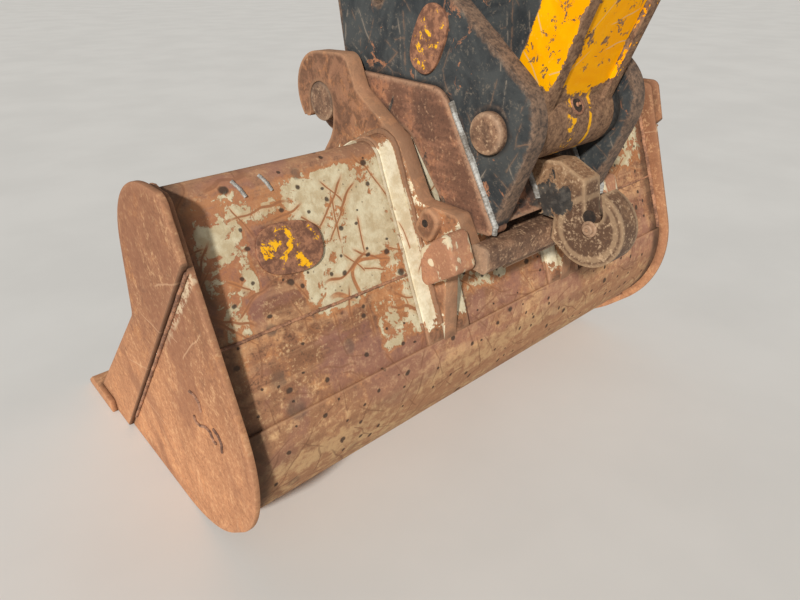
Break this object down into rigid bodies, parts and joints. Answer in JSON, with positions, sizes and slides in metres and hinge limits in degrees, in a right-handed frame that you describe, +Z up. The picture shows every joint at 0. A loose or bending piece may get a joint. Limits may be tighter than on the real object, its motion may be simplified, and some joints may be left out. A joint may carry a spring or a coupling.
{
  "type": "excavator ditching bucket on a quick coupler, with its bucket link",
  "caption": "Wide ditching bucket held by a hook-and-wedge quick coupler with black ears, a lifting hook and a yellow bucket link.",
  "frame": {"origin": "middle of the stick pin bore, between the coupler's ears", "axes": "+X across the bucket to its right, +Y towards the bucket's open mouth, +Z up as it stands on the ground"},
  "size_m": [1.568, 1.3545, 1.4982],
  "materials": {
    "bucket_steel": "rusted through worn paint, matt",
    "hanger_paint": "cream paint, chipped to rust",
    "coupler_paint": "red brown, dull",
    "worn_steel": "rubbed steel with rust",
    "ear_paint": "black paint, scratched",
    "link_paint": "yellow paint, chipped at the edges",
    "seal_rubber": "matt"
  },
  "bodies": {
    "bucket": {"side_plate_left": "bucket_steel", "side_plate_right": "bucket_steel", "shell": "bucket_steel", "wear_wrapper": "bucket_steel", "mouth_bar": "bucket_steel", "cutting_edge": "bucket_steel", "cheek_left": "bucket_steel", "cheek_right": "bucket_steel", "hanger_left": "hanger_paint", "hanger_right": "hanger_paint", "hanger_pads": "hanger_paint", "lock_blocks": "bucket_steel", "lock_crossbar": "worn_steel", "base_left": "coupler_paint", "base_right": "coupler_paint", "base_deck": "coupler_paint", "base_crossplate": "coupler_paint", "front_bar": "worn_steel", "ear_left": "ear_paint", "ear_right": "ear_paint", "link_pin": "worn_steel", "lifting_hook": "coupler_paint", "wedge_guides": "coupler_paint", "lock_cylinder": "ear_paint", "link_seals": "seal_rubber"},
    "link": {"link": "link_paint"},
    "lock_wedge": {"lock_wedge": "worn_steel"}
  },
  "joints": [
    {"name": "link_hinge", "type": "hinge", "parent": "bucket", "child": "link", "pos_m": [0, -0.392, -0.324], "axis": [1, 0, 0], "range_deg": [-35, 65]},
    {"name": "wedge_slide", "type": "slide", "parent": "bucket", "child": "lock_wedge", "axis": [0, 0.7071, 0.7071], "range_m": [0, 0.07]}
  ]
}
